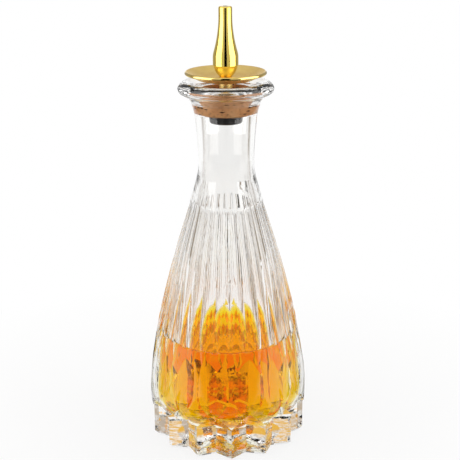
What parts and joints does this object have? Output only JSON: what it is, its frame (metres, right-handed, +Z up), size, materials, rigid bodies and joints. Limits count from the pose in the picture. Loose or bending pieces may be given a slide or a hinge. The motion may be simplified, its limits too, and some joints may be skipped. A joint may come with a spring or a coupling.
{
  "type": "bitters bottle",
  "caption": "Fluted clear glass bitters bottle with a star-cut foot, half full, closed by a cork that carries a gold-plated dasher spout on a shallow dish.",
  "frame": {"origin": "middle of the star foot, on the surface the bottle stands on", "axes": "+Z up along the bottle's axis; a tooth of the star foot points along -Y"},
  "size_m": [0.0736, 0.0736, 0.2],
  "materials": {
    "clear_glass": "clear pressed and cut glass, polished",
    "bitters": "clear amber liquid",
    "cork": "natural cork with dark pores",
    "gold_plate": "polished gold plate on brass",
    "gold_brushed": "brushed gold plate on brass with a polished rim",
    "black_nut": "glossy black"
  },
  "bodies": {
    "bottle": {"glass_bottle": "clear_glass", "bitters_liquid": "bitters"},
    "cork": {"cork_sleeve": "cork"},
    "dasher": {"stem_tube": "gold_plate", "retaining_nut": "black_nut", "cover_disc": "gold_brushed", "spout_base": "gold_plate", "spout_nozzle": "gold_plate"}
  },
  "joints": [
    {"name": "stopper_lift", "type": "slide", "parent": "bottle", "child": "cork", "axis": [0, 0, 1], "range_m": [0, 0.045]},
    {"name": "dasher_turn", "type": "hinge", "parent": "cork", "child": "dasher", "pos_m": [0, 0, 0.16], "axis": [0, 0, 1], "continuous": true}
  ]
}
